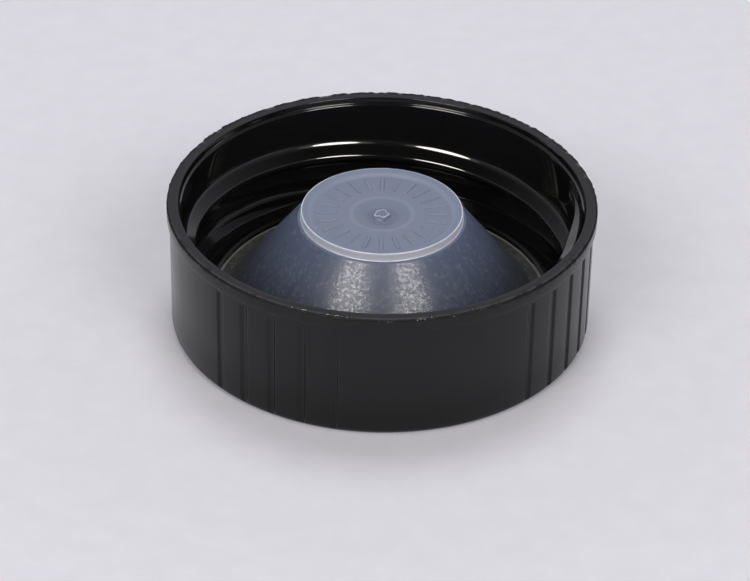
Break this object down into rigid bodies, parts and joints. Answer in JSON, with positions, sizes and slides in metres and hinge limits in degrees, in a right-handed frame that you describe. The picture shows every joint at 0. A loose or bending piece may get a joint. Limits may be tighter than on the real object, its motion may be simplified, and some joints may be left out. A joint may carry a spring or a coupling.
{
  "type": "threaded bottle cap with cone liner",
  "caption": "Black ribbed screw cap lying open end up, with a translucent cone liner that plugs the neck of a bottle.",
  "frame": {"origin": "centre of the closed outer face, on the surface that the cap lies on", "axes": "+Z along the cap's axis, out of its open mouth; +X and +Y across it, +X through the run-out of the thread at the mouth"},
  "size_m": [0.0348, 0.0348, 0.011],
  "materials": {
    "phenolic_black": "compression-moulded black phenolic, satin outside, polished inside",
    "liner_polyethylene": "natural translucent polyethylene, lightly scuffed"
  },
  "bodies": {
    "cap": {"cap_shell": "phenolic_black"},
    "liner": {"cone_liner": "liner_polyethylene"}
  },
  "joints": [
    {"name": "liner_turn", "type": "hinge", "parent": "cap", "child": "liner", "pos_m": [0, 0, 0], "axis": [0, 0, 1], "continuous": true}
  ]
}
